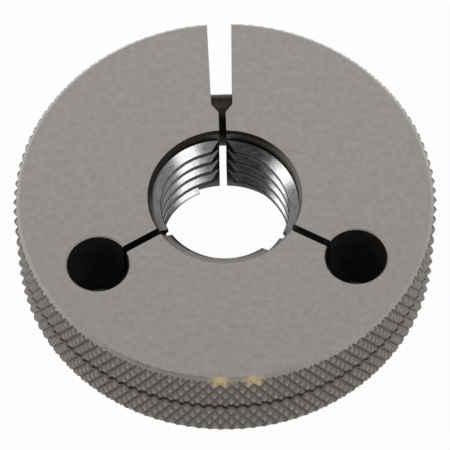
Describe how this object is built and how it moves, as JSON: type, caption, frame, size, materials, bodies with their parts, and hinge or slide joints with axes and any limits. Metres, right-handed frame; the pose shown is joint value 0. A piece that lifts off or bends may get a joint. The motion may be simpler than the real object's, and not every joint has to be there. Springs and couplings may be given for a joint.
{
  "type": "thread ring gauge",
  "caption": "Knurled steel ring gauge for an outside thread, sawn through on its side, with a sleeve and screws across the slot to set and lock it.",
  "frame": {"origin": "centre of the lower face, on the axis of the thread", "axes": "+Z along the thread, out of the face that the picture shows; +Y from the thread to the through slot; +X to the locking screw"},
  "size_m": [0.0572, 0.0571, 0.0143],
  "materials": {
    "ring_steel": "ground",
    "sleeve_steel": "satin",
    "screw_steel": "blackened"
  },
  "bodies": {
    "ring": {"ring_body": "ring_steel"},
    "sleeve": {"adjusting_sleeve": "sleeve_steel"},
    "adjuster": {"adjusting_screw": "screw_steel"},
    "lock": {"locking_screw": "screw_steel"}
  },
  "joints": [
    {"name": "sleeve_slide", "type": "slide", "parent": "ring", "child": "sleeve", "axis": [-1, 0, 0], "range_m": [0, 0.00079]},
    {"name": "adjusting_screw_turn", "type": "hinge", "parent": "sleeve", "child": "adjuster", "pos_m": [-0.0118, 0.0166, 0.00715], "axis": [-1, 0, 0], "range_deg": [0, 360]},
    {"name": "locking_screw_turn", "type": "hinge", "parent": "ring", "child": "lock", "pos_m": [0.01465, 0.0166, 0.00715], "axis": [1, 0, 0], "range_deg": [0, 180]}
  ],
  "couplings": [
    {"joint": "adjusting_screw_turn", "follows": "sleeve_slide", "rad_per_m": 7915.8}
  ]
}
